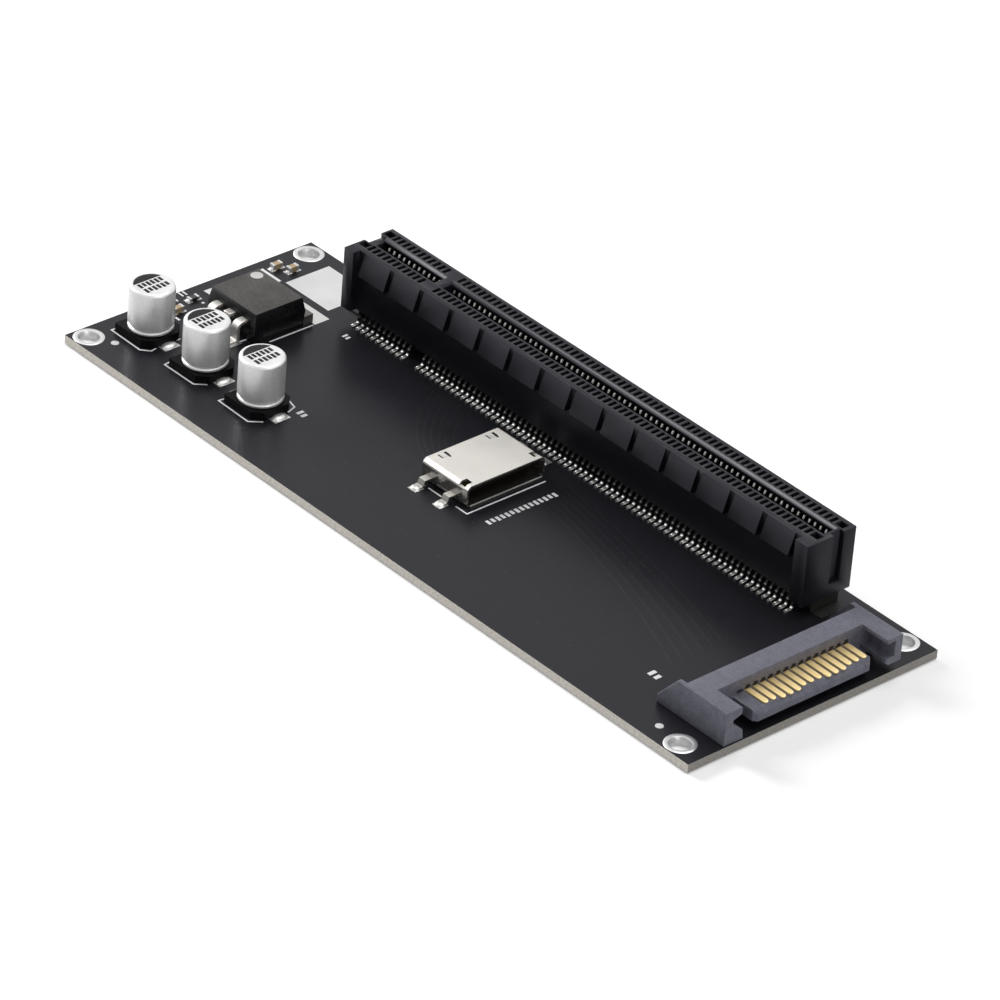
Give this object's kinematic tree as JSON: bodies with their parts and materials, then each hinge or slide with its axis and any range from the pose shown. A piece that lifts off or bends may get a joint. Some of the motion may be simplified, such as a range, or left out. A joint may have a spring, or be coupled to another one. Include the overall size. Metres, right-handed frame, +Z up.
{
  "type": "oculink to pcie adapter",
  "caption": "Flat adapter board that joins a cable receptacle and a power plug to a long card-edge slot, with screw holes at its corners.",
  "frame": {"origin": "middle of the four mounting holes, on the board's underside", "axes": "+X along the long edge towards the power plug, +Y across the board towards the card slot, +Z up out of the board"},
  "size_m": [0.12, 0.042, 0.0122],
  "materials": {
    "board_mask": "semi-gloss black solder mask over glass-epoxy laminate",
    "tin": "bright tinned copper",
    "slot_plastic": "satin black moulded plastic",
    "slot_contact_metal": "pale gold flash over spring bronze",
    "shell_metal": "bright nickel-plated folded sheet",
    "insulator_plastic": "black moulded plastic",
    "contact_gold": "gold-flashed copper alloy",
    "plug_plastic": "matte blue-grey moulded plastic",
    "can_metal": "satin drawn aluminium",
    "base_plastic": "black moulded plastic",
    "regulator_plastic": "fine-grained black moulding",
    "capacitor_ceramic": "tan fired ceramic",
    "resistor_film": "dark glazed film on ceramic"
  },
  "bodies": {
    "root": {"bare_pad": "tin", "capacitor_1_base": "base_plastic", "capacitor_1_can": "can_metal", "capacitor_1_leads": "tin", "capacitor_2_base": "base_plastic", "capacitor_2_can": "can_metal", "capacitor_2_leads": "tin", "capacitor_3_base": "base_plastic", "capacitor_3_can": "can_metal", "capacitor_3_leads": "tin", "chip_capacitor_1": "capacitor_ceramic", "chip_capacitor_1_ends": "tin", "chip_capacitor_2": "capacitor_ceramic", "chip_capacitor_2_ends": "tin", "chip_capacitor_3": "capacitor_ceramic", "chip_capacitor_3_ends": "tin", "chip_resistor": "resistor_film", "chip_resistor_ends": "tin", "circuit_board": "board_mask", "power_contact_02": "contact_gold", "power_contact_03": "contact_gold", "power_contact_04": "contact_gold", "power_contact_05": "contact_gold", "power_contact_06": "contact_gold", "power_contact_07": "contact_gold", "power_contact_08": "contact_gold", "power_contact_09": "contact_gold", "power_contact_10": "contact_gold", "power_contact_11": "contact_gold", "power_contact_12": "contact_gold", "power_contact_13": "contact_gold", "power_contact_14": "contact_gold", "power_contact_15": "contact_gold", "power_plug_housing": "plug_plastic", "receptacle_contacts": "contact_gold", "receptacle_insulator": "insulator_plastic", "receptacle_shell": "shell_metal", "regulator_body": "regulator_plastic", "regulator_lead_1": "tin", "regulator_lead_2": "tin", "regulator_lead_3": "tin", "regulator_pad": "tin", "regulator_tab": "tin", "slot_contacts_far": "slot_contact_metal", "slot_contacts_near": "slot_contact_metal", "slot_housing": "slot_plastic", "slot_lock_left": "tin", "slot_lock_right": "tin"}
  },
  "joints": []
}
